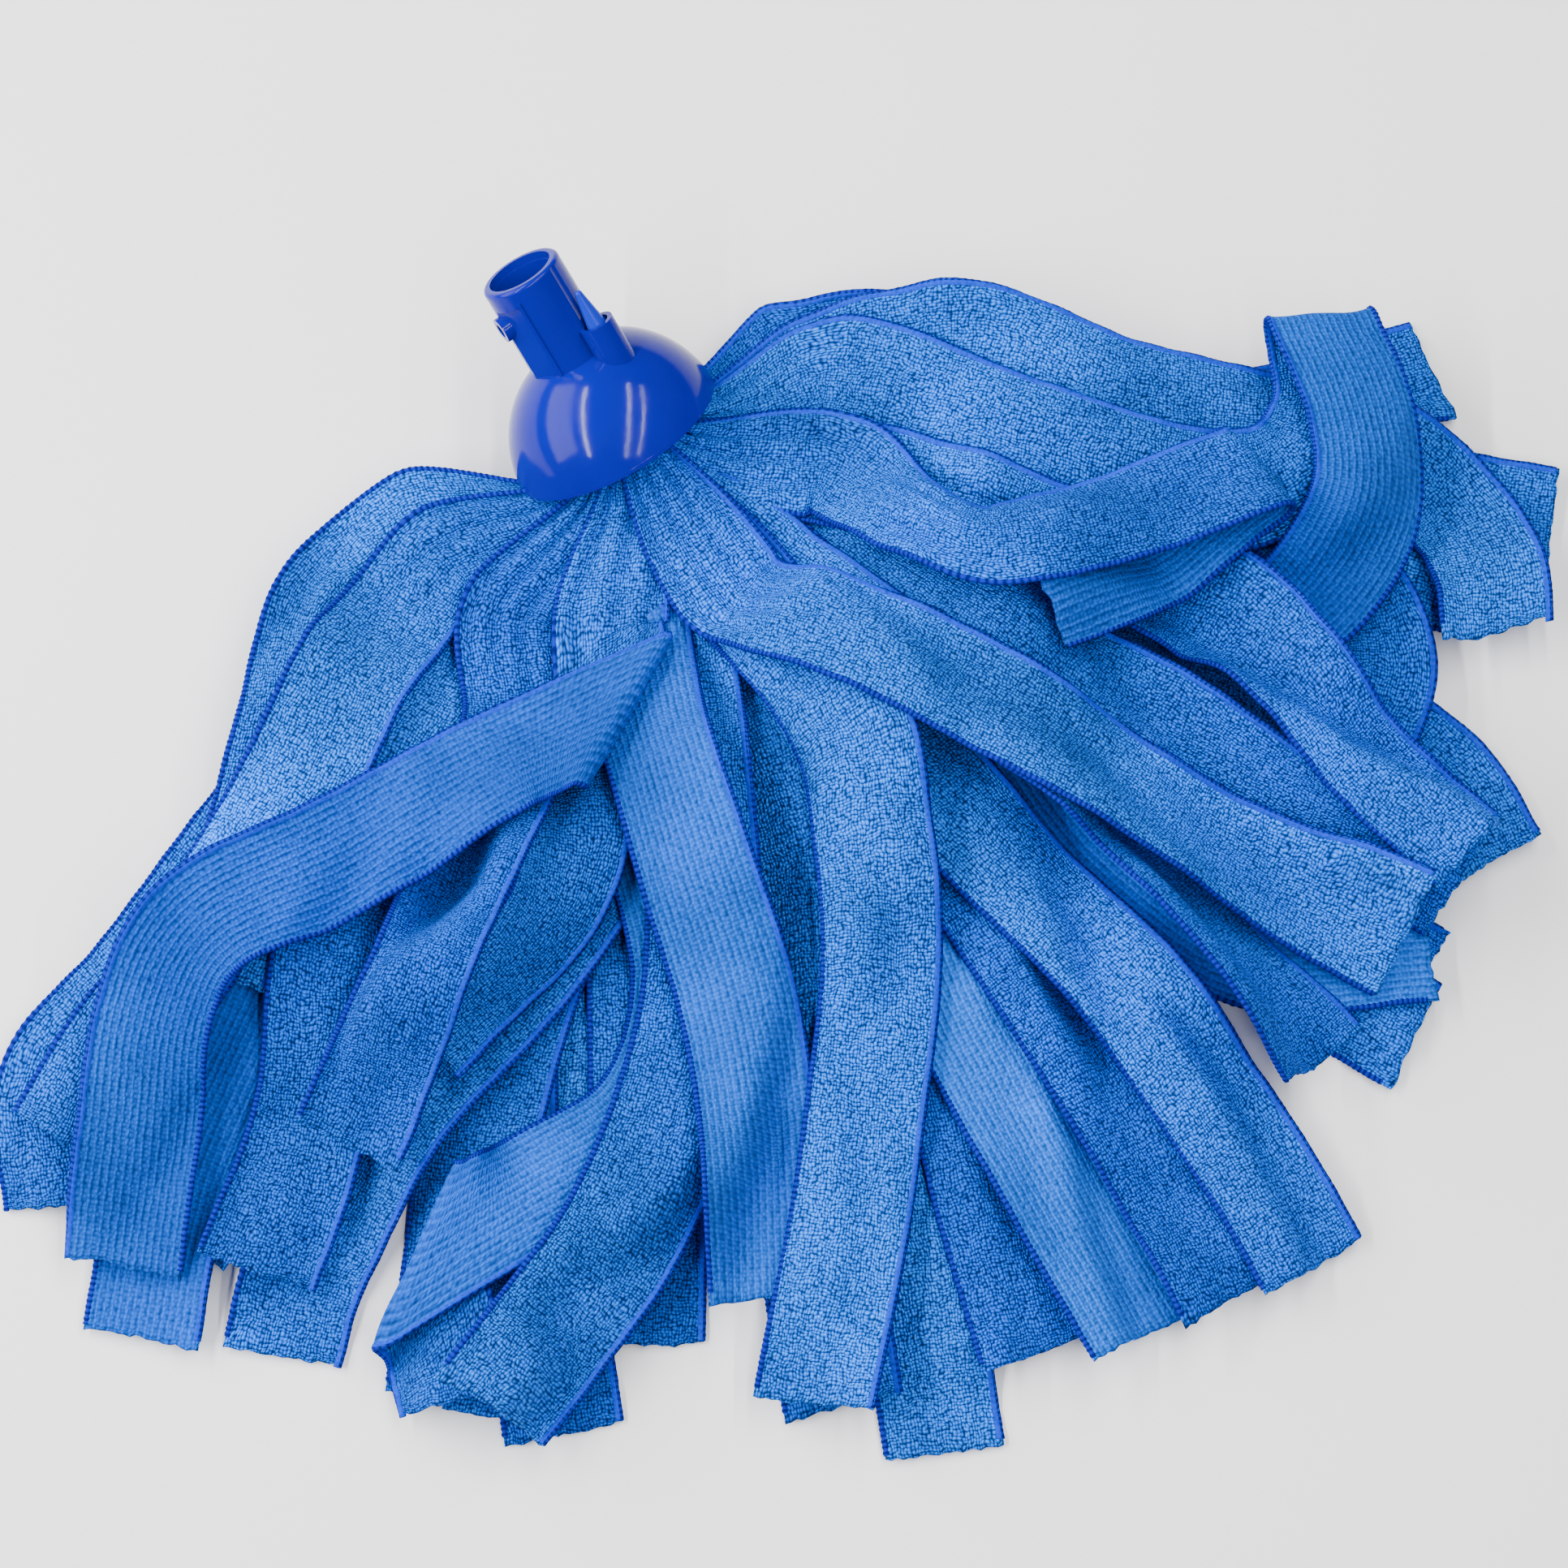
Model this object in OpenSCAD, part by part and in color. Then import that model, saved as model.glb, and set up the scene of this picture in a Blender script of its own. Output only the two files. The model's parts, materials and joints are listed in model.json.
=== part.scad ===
// Strip mop head: a moulded socket that takes a round handle, a locking peg kept in a side
// holder, and a skirt of microfibre strips laid out on the floor.

/* [Socket] */
// Diameter of the handle that the collar takes
handle_d = 22; // [21:0.5:23]
// Free play between the handle and the collar, on the diameter
handle_play = 0.3; // [0.1:0.1:0.6]
// Height of the collar's mouth above the dome's rim
socket_h = 69; // [66:1:74]
// Outer diameter of the collar
collar_d = 29; // [28.5:0.5:30]
// Outer radius of the dome
dome_r = 38.5; // [38:0.5:40]
// Wall of the dome
dome_wall = 2.2; // [1.8:0.2:2.6]
// Lift of the socket's axis above the floor, in degrees
socket_lift = 40; // [38:1:44]
// Heading of the socket's axis seen from above, in degrees
socket_heading = 127; // [125:1:130]

/* [Locking peg] */
// Largest diameter of the peg
peg_d = 8.6; // [8:0.2:9]
// Length of the peg
peg_len = 24; // [22:1:26]
// Free play between the peg and its holder, on the diameter
peg_play = 0.6; // [0.6:0.1:0.8]

/* [Strips] */
// Width of one strip
strip_w = 40; // [36:1:40]
// Thickness of one strip
strip_t = 1.8; // [1.4:0.1:1.9]
// Height that each strip adds to the pile
pile_pitch = 3.3; // [3.1:0.1:3.6]

/* [Hidden] */
$fn = 72;
// Plan place of the dome's mouth, which puts the origin under the middle of the whole head
mouth_x = -60.3;
mouth_y = 146.1;
mouth_z = 30.4;

// Directions of the tilted socket: along its axis, up across its mouth, and to its side
AXIS = [cos(socket_lift) * cos(socket_heading), cos(socket_lift) * sin(socket_heading), sin(socket_lift)];
UP = [-sin(socket_lift) * cos(socket_heading), -sin(socket_lift) * sin(socket_heading), cos(socket_lift)];
SIDE = [-sin(socket_heading), cos(socket_heading), 0];
fan_heading = socket_heading + 180;

// Socket levels above the rim of the dome
bore_r = (handle_d + handle_play) / 2;
collar_r = collar_d / 2;
bore_floor = 33;
lead_in_h = 3;
lead_in_r = bore_r + 0.5;
lip_r = 1.5;
collar_bottom = 30;
dome_drop = 2;
dome_in_r = dome_r - dome_wall;
rim_bead = 1.1;
// How far joined shapes reach into each other
seam = 0.1;
root_h = 4;
root_inset = 0.5;
post_r = 5;
post_bottom = 17.2;
pilot_r = 1.9;
pilot_depth = 12;

// Retaining disc with its counterbore and drain holes, and the washer and screw that hold it
disc_bottom = 11;
disc_top = 17;
disc_r = 31;
disc_t = 4.5;
disc_sink = 3;
disc_sink_r = 5;
drain_r = 4;
drain_reach = 20;
hole_play = 0.2;
past = 1;
washer_r = 4.6;
washer_t = 0.8;
washer_rise = 2.2;
screw_head_r = 3.8;
screw_head_t = 1.95;
screw_head_rise = 0.2;
screw_r = 1.7;
screw_len = 14;

// Tape round the roots of the strips
band_r = 33.4;
band_t = 1;
band_bottom = 3;
band_h = 6;

// Peg holder and the hole that the peg locks the handle through
holder_r = 6.3;
holder_angle = 214;
holder_reach = 18.8;
holder_top = 44;
holder_bottom = 14;
holder_floor = bore_floor;
holder_web_w = 3;
holder_web_in = 1;
holder_web_out = 5;
holder_web_drop = 2;
peg_hole_r = 2.6;
peg_hole_z = 55;
peg_boss_r = 4.6;
peg_boss_reach = 16.2;

// Peg: a straight foot, a cone and a round tip
peg_rise = 0.3;
peg_foot_h = 5;
peg_tip_r = 1.35;
peg_tip_drop = 1.4;
peg_cone_r = 1.3;
peg_cone_end = 1;

// The flat that the mould leaves on one side of the collar, and the moulding line beside it
flat_angle = 119;
flat_depth = 1.3;
flat_w = 20;
flat_bottom = 33;
flat_top = 62;
line_angle = 145;
line_w = 1.1;
line_rise = 0.6;
line_over = 2;

// Strips: gathered at the mouth, full width at the ring, then free on the floor
ring_r = 75;
free_r = 130;
gather_r = 31;
root_in = 10;
gather_low = -22;
gather_pitch = 4.4;
gather_share = 0.23;
exit_len = 30;
arrive_len = 30;
arrive_cut = 12;
inner_share = 0.8;
lead_len = 40;
ring_rise = 0.3;
fold_step = 0.3;
end_short = 8;
neck_rows = 7;
across = 4;
span_rows = 4;
fold_rows = 4;
cover_half = strip_w / 2 + 1;
cover_fade = 22;
fold_shear_len = 45;

// Regular strips under the pile: layers, strips in each, and how they fan out
FILL_LAYERS = 4;
FILL_ACROSS = 5;

// Laid strips from the bottom of the pile to its top. Each row has its layer at the mouth, its
// place across the mouth and across the ring in degrees from the fan's heading, its share of the
// mouth, and the points it runs through from the ring on, in mm from the mouth. A third value
// folds the strip at that point: 1 turns it back on top, -1 turns it back underneath.
LAID = [
    [4, -2, -2, 1, [[78, -125], [90, -190], [100, -270], [112, -350]]],
    [4, -85, -88, 1, [[-90, -85], [-125, -140], [-160, -190], [-188, -225], [-185, -268]]],
    [4, -45, -42, 1, [[-5, -130], [-30, -190], [-45, -250], [-55, -330]]],
    [4, 38, 36, 1, [[130, -50], [200, -70], [250, -92], [285, -118], [302, -148]]],
    [4, 78, 84, 1, [[100, 38], [150, 22], [210, 8], [266, 22]]],
    [5, 0, 2, 1, [[95, -140], [115, -210], [128, -265], [143, -318]]],
    [5, -80, -78, 1, [[-75, -100], [-105, -160], [-130, -215], [-148, -260], [-157, -312]]],
    [5, -42, -38, 1, [[5, -125], [-25, -180], [-70, -235], [-100, -285], [-110, -318]]],
    [5, 34, 34, 1, [[115, -70], [160, -135], [215, -180], [278, -178]]],
    [5, 68, 68, 1, [[138, 8], [190, -2], [228, -18], [252, -46], [266, -76], [256, -106]]],
    [6, 14, 18, 1, [[96, -120], [112, -188], [132, -228], [152, -266], [178, -312]]],
    [6, -94, -104, 1, [[-98, -52], [-109, -78], [-112, -108], [-120, -145], [-136, -190]]],
    [6, -16, -14, 1, [[46, -108], [60, -150], [66, -210], [70, -280], [78, -335]]],
    [6, 72, 74, 1, [[125, 30], [180, 12], [240, 4], [270, -4], [293, -22], [303, -45], [305, -68]]],
    [7, 6, 5, 1, [[98, -120], [138, -182], [165, -222], [190, -262], [208, -300]]],
    [7, -74, -72, 1, [[-62, -95], [-84, -140], [-95, -190], [-101, -240], [-118, -292]]],
    [7, -38, -36, 1, [[12, -130], [26, -190], [12, -238], [-30, -268], [-62, -288, -1], [-50, -335]]],
    [7, 38, 38, 1, [[112, -56], [150, -82], [190, -106], [232, -132], [286, -162]]],
    [7, 70, 71, 1, [[140, -4], [195, -20], [232, -16], [247, 6], [246, 32, 1], [258, 2],
        [259, -28], [243, -56], [218, -76]]],
    [8, 11, 11, 1, [[92, -108], [125, -146], [160, -181], [190, -216], [215, -252], [236, -289]]],
    [8, -86, -90, 1, [[-84, -85], [-106, -130], [-138, -178], [-165, -214], [-184, -248]]],
    [8, -54, -54, 1, [[-18, -112], [-12, -142], [-18, -170], [-37, -195], [-62, -218]]],
    [8, 40, 43, 1, [[140, -38], [200, -60], [230, -90], [255, -120], [290, -152]]],
    [8, -22, -21.5, 1, [[28, -128], [31, -185], [22, -235], [4, -280], [-18, -312], [-38, -338]]],
    [9, -62, -64, 1, [[-31, -108], [-46, -152], [-66, -202], [-86, -252]]],
    [9, -33, -32, 1, [[14, -112], [28, -158], [42, -200], [50, -245], [53, -300]]],
    [9, 10, 10, 1, [[98, -88], [140, -118], [178, -152], [210, -186], [240, -220]]],
    [9, 44, 44, 1, [[100, -36], [125, -52], [158, -45], [190, -34], [216, -24, -1], [180, -50],
        [145, -66]]],
    [9.8, -40, -38, 2, [[4, -104, 1], [-44, -129], [-94, -158], [-136, -181], [-152, -210],
        [-157, -245], [-163, -289]]],
    [9.8, 0, 0, 0.7, [[80, -112], [88, -150], [91, -190], [86, -235], [79, -282], [68, -335]]],
    [10.7, -9, -3, 4, [[72, -78], [110, -97], [150, -119], [190, -141], [230, -161], [268, -180]]]
];

function smooth(t) = let (c = min(1, max(0, t))) c * c * (3 - 2 * c);
function unit(v) = v / norm(v);
function sum(v, i = 0) = i < len(v) ? v[i] + sum(v, i + 1) : 0;
function heading(a) = [cos(a), sin(a)];
function right_of(v) = [v.y, -v.x];
function plan(p) = [p.x, p.y];
function between(a, b, t) = a + (b - a) * t;
function bezier(a, b, c, d, t) = let (u = 1 - t)
    a * u * u * u + b * 3 * u * u * t + c * 3 * u * t * t + d * t * t * t;
function spline(a, b, c, d, t) = (2 * b + (c - a) * t + (2 * a - 5 * b + 4 * c - d) * t * t
    + (3 * b - a - 3 * c + d) * t * t * t) / 2;

// A regular strip fans straight out from the ring, a little wavy, with its end near the edge
function fill_strip(layer, i) = let (
        turn = -84 + 39 * i + 5 * (layer % 3) - 4 * (layer % 2),
        out = 0.78 * turn - 7,
        wave = 3 * sin(97 * (5 * layer + i)),
        reach = 328 + 20 * sin(127 * (5 * layer + i)) - 40 * smooth((abs(out + 8) - 45) / 30)
    ) [layer, turn, turn, 1, [for (s = [0.42, 0.68, 1])
        reach * s * heading(fan_heading + out + wave * sin(360 * s + 60 * i))]];

STRIPS = concat([for (l = [0:FILL_LAYERS - 1], i = [0:FILL_ACROSS - 1]) fill_strip(l, i)], LAID);
STRIP_NAMES = [for (i = [1:len(STRIPS)]) str("strip_", i < 10 ? "0" : "", i)];

// A strip's runs: its points split at each fold, every run starting where the last one ended
function ring_point(s) = ring_r * heading(fan_heading + s[2]);
function folds(s) = [for (i = [0:len(s[4]) - 1]) if (len(s[4][i]) == 3) i];
function run_count(s) = len(folds(s)) + 1;
function run_points(s, r) = let (f = folds(s), last = r < len(f) ? f[r] : len(s[4]) - 1)
    concat([r == 0 ? ring_point(s) : plan(s[4][f[r - 1]])],
        [for (i = [r == 0 ? 0 : f[r - 1] + 1:last]) plan(s[4][i])]);
function fold_side(s, r) = s[4][folds(s)[r]][2];
function run_lift(s, r) = r == 0 ? 0 : sum([for (i = [0:r - 1]) fold_side(s, i)]);
function run_level(j, r) = j + fold_step * run_lift(STRIPS[j], r);

// Direction of the crease at the end of run r, and of the strip going into and out of it
function run_end_dir(s, r) = let (p = run_points(s, r), n = len(p)) unit(p[n - 1] - p[n - 2]);
function run_start_dir(s, r) = let (p = run_points(s, r)) unit(p[1] - p[0]);
function crease_dir(s, r) = unit(run_end_dir(s, r) + run_start_dir(s, r + 1));

// Centre line of a run: a spline through its points
function run_line(s, r) = let (
        p = run_points(s, r),
        n = len(p),
        lead = r == 0 ? p[0] * (1 - lead_len / ring_r) : 2 * p[0] - p[1],
        q = concat([lead], p, [2 * p[n - 1] - p[n - 2]])
    ) concat([for (i = [0:n - 2], k = [0:span_rows - 1])
        spline(q[i], q[i + 1], q[i + 2], q[i + 3], k / span_rows)], [p[n - 1]]);

// The line that a run covers: carried past a crease, and stopped short of a cut end
function crease_shear(s, r) = let (d = crease_dir(s, r), t = run_end_dir(s, r))
    abs((d * t) / (d * right_of(t))) * strip_w / 2;
function cover_line(s, r) = let (
        c = run_line(s, r),
        n = len(c),
        last = r == run_count(s) - 1,
        tail = unit(c[n - 1] - c[n - 2]),
        end = last ? c[n - 1] - end_short * tail : c[n - 1] + crease_shear(s, r) * tail,
        head = r == 0 ? c[0] : c[0] - crease_shear(s, r - 1) * unit(c[1] - c[0])
    ) concat([head], [for (i = [1:n - 2]) c[i]], [end]);
function low_corner(c) = [min([for (p = c) p.x]), min([for (p = c) p.y])];
function high_corner(c) = [max([for (p = c) p.x]), max([for (p = c) p.y])];
RUNS = [for (j = [0:len(STRIPS) - 1], r = [0:run_count(STRIPS[j]) - 1])
    let (c = cover_line(STRIPS[j], r)) [run_level(j, r), c, low_corner(c), high_corner(c)]];

// How much of a run lies under a point, from 0 to 1, and the height of the pile under a level
function seg_dist(p, a, b) = let (v = b - a, t = min(1, max(0, ((p - a) * v) / (v * v))))
    norm(p - a - t * v);
function near(run, p) = let (m = cover_half + cover_fade)
    p.x > run[2].x - m && p.x < run[3].x + m && p.y > run[2].y - m && p.y < run[3].y + m;
function cover(run, p) = let (c = run[1], d = min([for (i = [0:len(c) - 2]) seg_dist(p, c[i], c[i + 1])]))
    1 - smooth((d - cover_half) / cover_fade);
function pile_under(level, p) = pile_pitch * sum([for (run = RUNS)
    if (run[0] < level - 0.01 && near(run, p)) cover(run, p)]);
function ring_z(layer) = strip_t / 2 + ring_rise + pile_pitch * layer;
function rest_z(j, r, p) = let (w = smooth((norm(p) - ring_r) / (free_r - ring_r)))
    (1 - w) * ring_z(STRIPS[j][0] + run_lift(STRIPS[j], r))
    + w * (strip_t / 2 + (w > 0 ? pile_under(run_level(j, r), p) : 0));

// Rows of points across a strip, from its root in the dome to its cut end
U = [for (k = [0:across - 1]) 2 * k / (across - 1) - 1];
function neck_row(s, t) = let (
        drop = gather_low + gather_pitch * s[0],
        chord = sqrt(gather_r * gather_r - drop * drop),
        half = s[3] * gather_share * chord / 2,
        a = fan_heading + s[2],
        centre = ring_point(s),
        arrive = arrive_len - arrive_cut * smooth((abs(s[2]) - 30) / 50)
    ) [for (u = U) let (
        root = [0, 0, mouth_z] + UP * drop + AXIS * root_in
            + SIDE * (u * half - s[1] / 100 * (chord - half)),
        edge = centre + right_of(heading(a)) * u * strip_w / 2,
        end = [edge.x, edge.y, ring_z(s[0])],
        in = concat((plan(centre) + plan(edge - centre) * inner_share) * (1 - arrive / ring_r), ring_z(s[0]))
    ) bezier(root, root - AXIS * exit_len, in, end, t)];
function run_rows(j, r) = let (
        s = STRIPS[j],
        c = run_line(s, r),
        n = len(c),
        flip = r % 2 == 0 ? 1 : -1,
        steps = [for (i = [0:n - 1]) i == 0 ? 0 : norm(c[i] - c[i - 1])],
        far = [for (i = [0:n - 1]) i == n - 1 ? 0 : sum([for (k = [i + 1:n - 1]) steps[k]])]
    ) [for (i = [r == 0 ? 1 : 0:n - 1]) let (
        t = i == 0 ? unit(c[1] - c[0]) : i == n - 1 ? unit(c[n - 1] - c[n - 2]) : unit(c[i + 1] - c[i - 1]),
        side = right_of(t) * flip,
        ahead = r < run_count(s) - 1 ? 1 - far[i] / fold_shear_len : 0,
        behind = r > 0 ? 1 - (far[0] - far[i]) / fold_shear_len : 0,
        q = max(0, max(ahead, behind)),
        d = q == 0 ? side : ahead > behind ? crease_dir(s, r) : crease_dir(s, r - 1),
        lateral = between(side, d / (d * side), q)
    ) [for (u = U) let (p = c[i] + lateral * u * strip_w / 2) [p.x, p.y, rest_z(j, r, p)]]];
// Rows round a crease, from the end of run r to the start of the next
function fold_rows_at(a, b, s, r) = let (
        out = unit(run_end_dir(s, r) - run_start_dir(s, r + 1))
    ) [for (k = [1:fold_rows - 1]) let (g = 180 * k / fold_rows)
        [for (i = [0:across - 1]) let (gap = abs(a[i].z - b[i].z) / 2)
            [a[i].x, a[i].y, 0] * (1 - k / fold_rows) + [b[i].x, b[i].y, 0] * k / fold_rows
            + [out.x, out.y, 0] * gap * sin(g)
            + [0, 0, (a[i].z + b[i].z) / 2 + (a[i].z - b[i].z) / 2 * cos(g)]]];
function free_rows(j, r = 0) = let (s = STRIPS[j], own = run_rows(j, r))
    r == run_count(s) - 1 ? own
    : let (next = free_rows(j, r + 1)) concat(own, fold_rows_at(own[len(own) - 1], next[0], s, r), next);
function strip_rows(j) = concat([for (k = [0:neck_rows]) neck_row(STRIPS[j], k / neck_rows)], free_rows(j));

module ribbon(rows) {
    n = len(rows);
    m = across;
    normals = [for (i = [0:n - 1]) let (
            a = rows[max(0, i - 1)],
            b = rows[min(n - 1, i + 1)]
        ) [for (k = [0:m - 1]) let (over = rows[i][min(m - 1, k + 1)] - rows[i][max(0, k - 1)])
            unit(cross(b[k] - a[k], over))]];
    top = [for (i = [0:n - 1], k = [0:m - 1]) rows[i][k] + normals[i][k] * strip_t / 2];
    low = [for (i = [0:n - 1], k = [0:m - 1]) rows[i][k] - normals[i][k] * strip_t / 2];
    h = n * m;
    function at(i, k, side) = i * m + k + side * h;
    faces = concat(
        [for (i = [0:n - 2], k = [0:m - 2], g = [0, 1])
            g == 0 ? [at(i, k, 0), at(i, k + 1, 0), at(i + 1, k + 1, 0)]
            : [at(i, k, 0), at(i + 1, k + 1, 0), at(i + 1, k, 0)]],
        [for (i = [0:n - 2], k = [0:m - 2], g = [0, 1])
            g == 0 ? [at(i, k, 1), at(i + 1, k + 1, 1), at(i, k + 1, 1)]
            : [at(i, k, 1), at(i + 1, k, 1), at(i + 1, k + 1, 1)]],
        [for (i = [0:n - 2], k = [0, m - 1], g = [0, 1]) let (f = [
                at(i, k, 0),
                g == 0 ? at(i + 1, k, 0) : at(i + 1, k, 1),
                g == 0 ? at(i + 1, k, 1) : at(i, k, 1)
            ]) k == 0 ? f : [f[0], f[2], f[1]]],
        [for (e = [0, n - 1], k = [0:m - 2], g = [0, 1]) let (f = g == 0
                ? [at(e, k, 0), at(e, k, 1), at(e, k + 1, 1)]
                : [at(e, k, 0), at(e, k + 1, 1), at(e, k + 1, 0)]) e == 0 ? f : [f[0], f[2], f[1]]]
    );
    translate([mouth_x, mouth_y, 0]) polyhedron(concat(top, low), faces);
}

module strip(j) {
    color(j % 3 == 0 ? "cornflowerblue" : j % 3 == 1 ? "steelblue" : "royalblue") ribbon(strip_rows(j));
}

// The socket's own frame: its rim at the mouth's place and its axis along the handle
module in_socket() {
    translate([mouth_x, mouth_y, mouth_z]) rotate([0, 90 - socket_lift, socket_heading]) children();
}

module dome_ball(r) {
    translate([0, 0, -dome_drop]) sphere(r);
}

module above_rim() {
    translate([0, 0, dome_r]) cube([4 * dome_r, 4 * dome_r, 2 * dome_r], center = true);
}

module collar_outside() {
    translate([0, 0, collar_bottom]) cylinder(r = collar_r, h = socket_h - collar_bottom - lip_r);
    translate([0, 0, socket_h - lip_r]) rotate_extrude() translate([collar_r - lip_r, 0]) circle(lip_r);
    translate([0, 0, socket_h - lip_r - seam]) cylinder(r = collar_r - lip_r, h = lip_r + seam);
}

module peg_holder_outside() {
    rotate([0, 0, holder_angle]) translate([holder_reach, 0, holder_bottom])
        cylinder(r = holder_r, h = holder_top - holder_bottom);
}

module socket_cap() color("mediumblue") in_socket() difference() {
    union() {
        difference() {
            union() {
                intersection() {
                    dome_ball(dome_r);
                    above_rim();
                }
                peg_holder_outside();
            }
            dome_ball(dome_in_r);
        }
        rotate_extrude() translate([dome_r - rim_bead - seam, rim_bead]) circle(rim_bead);
        difference() {
            collar_outside();
            rotate([0, 0, flat_angle]) translate([collar_r - flat_depth, -flat_w / 2, flat_bottom])
                cube([flat_w, flat_w, flat_top - flat_bottom]);
        }
        translate([0, 0, collar_bottom]) cylinder(r = collar_r - root_inset, h = root_h);
        translate([0, 0, post_bottom]) cylinder(r = post_r, h = bore_floor - past - disc_top);
        // The boss round the peg hole, the moulding line and the web behind the peg holder
        translate([0, 0, peg_hole_z]) rotate([-90, 0, 0]) cylinder(r = peg_boss_r, h = peg_boss_reach);
        rotate([0, 0, line_angle]) translate([collar_r - line_rise, -line_w / 2, flat_bottom])
            cube([2 * line_rise, line_w, flat_top - flat_bottom + line_over]);
        rotate([0, 0, holder_angle]) translate([collar_r - holder_web_in, -holder_web_w / 2, flat_bottom])
            cube([holder_web_in + holder_web_out, holder_web_w, holder_top - flat_bottom - holder_web_drop]);
    }
    translate([0, 0, bore_floor]) cylinder(r = bore_r, h = socket_h);
    translate([0, 0, socket_h - lead_in_h]) cylinder(r = lead_in_r, h = socket_h);
    translate([0, 0, disc_top]) cylinder(r = pilot_r, h = pilot_depth);
    translate([0, 0, peg_hole_z]) rotate([-90, 0, 0]) cylinder(r = peg_hole_r, h = 2 * collar_r);
    rotate([0, 0, holder_angle]) translate([holder_reach, 0, holder_floor])
        cylinder(r = (peg_d + peg_play) / 2, h = socket_h);
}

module locking_peg() color("dodgerblue") in_socket()
    rotate([0, 0, holder_angle]) translate([holder_reach, 0, holder_floor + peg_rise]) {
        cylinder(r = peg_d / 2, h = peg_foot_h);
        translate([0, 0, peg_foot_h])
            cylinder(r1 = peg_d / 2, r2 = peg_cone_r, h = peg_len - peg_cone_end - peg_foot_h);
        translate([0, 0, peg_len - peg_tip_drop]) sphere(peg_tip_r);
    }

module retaining_disc() color("navy") in_socket() difference() {
    translate([0, 0, disc_bottom]) cylinder(r = disc_r, h = disc_t);
    translate([0, 0, disc_bottom - past]) cylinder(r = pilot_r + hole_play, h = disc_t + 2 * past);
    translate([0, 0, disc_bottom - past]) cylinder(r = disc_sink_r, h = disc_sink + past);
    for (a = [0:60:300]) rotate([0, 0, a]) translate([drain_reach, 0, disc_bottom - past])
        cylinder(r = drain_r, h = disc_t + 2 * past);
}

module clamp_washer() color("silver") in_socket() difference() {
    translate([0, 0, disc_bottom + washer_rise]) cylinder(r = washer_r, h = washer_t);
    translate([0, 0, disc_bottom]) cylinder(r = pilot_r + hole_play, h = disc_t);
}

module clamp_screw() color("gainsboro") in_socket() {
    translate([0, 0, disc_bottom + screw_head_rise]) cylinder(r = screw_head_r, h = screw_head_t);
    translate([0, 0, disc_bottom + screw_head_rise + screw_head_t - seam])
        cylinder(r = screw_r, h = screw_len);
}

module binding_band() color("royalblue") in_socket() difference() {
    translate([0, 0, band_bottom]) cylinder(r = band_r, h = band_h);
    translate([0, 0, band_bottom - past]) cylinder(r = band_r - band_t, h = band_h + 2 * past);
}

socket_cap();
locking_peg();
retaining_disc();
clamp_washer();
clamp_screw();
binding_band();
for (j = [0:len(STRIPS) - 1]) strip(j);
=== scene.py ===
"""Strip mop head: cloth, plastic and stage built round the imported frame."""

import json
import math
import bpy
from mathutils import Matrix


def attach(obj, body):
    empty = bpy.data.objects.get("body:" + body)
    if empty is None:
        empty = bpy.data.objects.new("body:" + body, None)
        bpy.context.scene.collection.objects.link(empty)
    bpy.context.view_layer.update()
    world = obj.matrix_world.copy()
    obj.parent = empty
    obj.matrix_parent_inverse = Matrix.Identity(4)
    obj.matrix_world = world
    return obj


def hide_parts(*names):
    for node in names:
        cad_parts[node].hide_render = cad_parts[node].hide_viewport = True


bl_info = {
    "name": "Strip mop head",
    "version": (1, 0, 0),
    "blender": (4, 5, 0),
    "location": "View3D > Sidebar > Mop",
    "description": "Microfibre strips, moulded socket and studio for a strip mop head",
    "category": "Object",
}

import bpy
import numpy as np
from bpy.props import FloatProperty, FloatVectorProperty, PointerProperty
from mathutils import Vector

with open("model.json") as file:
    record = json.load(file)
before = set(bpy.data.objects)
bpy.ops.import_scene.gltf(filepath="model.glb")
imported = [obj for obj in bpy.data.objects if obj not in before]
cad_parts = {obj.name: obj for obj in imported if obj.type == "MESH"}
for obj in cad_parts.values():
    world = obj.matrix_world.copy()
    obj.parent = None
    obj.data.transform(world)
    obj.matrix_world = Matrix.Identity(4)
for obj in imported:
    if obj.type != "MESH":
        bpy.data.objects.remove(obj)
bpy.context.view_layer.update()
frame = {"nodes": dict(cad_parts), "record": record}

MM = 0.001
MOUNTS = {m["name"]: m for m in frame["record"]["mounts"]}

# The socket's axis, and the middle of the dome's mouth, which is MOUTH_DOWN mm down that axis from
# the handle's mount
MOUTH_DOWN = 64.0
AXIS = np.array(MOUNTS["handle_bore"]["axis"])
MOUTH = np.array(MOUNTS["handle_bore"]["pos_m"]) / MM - MOUTH_DOWN * AXIS
LIFT = math.asin(AXIS[2])
HEADING = math.atan2(AXIS[1], AXIS[0])
UP = np.array([-math.sin(LIFT) * math.cos(HEADING), -math.sin(LIFT) * math.sin(HEADING),
               math.cos(LIFT)])
SIDE = np.array([-math.sin(HEADING), math.cos(HEADING), 0.0])
FAN = math.degrees(HEADING) + 180

# Sizes of the strips and of the pile they make, in mm, as in the CAD part
STRIP_W = 40.0
STRIP_T = 1.8
PILE_PITCH = 3.3
RING_R = 75.0
FREE_R = 130.0
GATHER_R = 31.0
ROOT_IN = 10.0
GATHER_LOW = -22.0
GATHER_PITCH = 4.4
GATHER_SHARE = 0.23
EXIT_LEN = 30.0
RING_LEAD = 40.0
RING_LIFT = 0.3
ARRIVE_LEN, ARRIVE_CUT = 30.0, 12.0
FOLD_STEP = 0.3
FOLD_SHEAR_LEN = 45.0
LEAST_CROSS = 0.2
FILL_LAYERS = 4
FILL_ACROSS = 5

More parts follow.
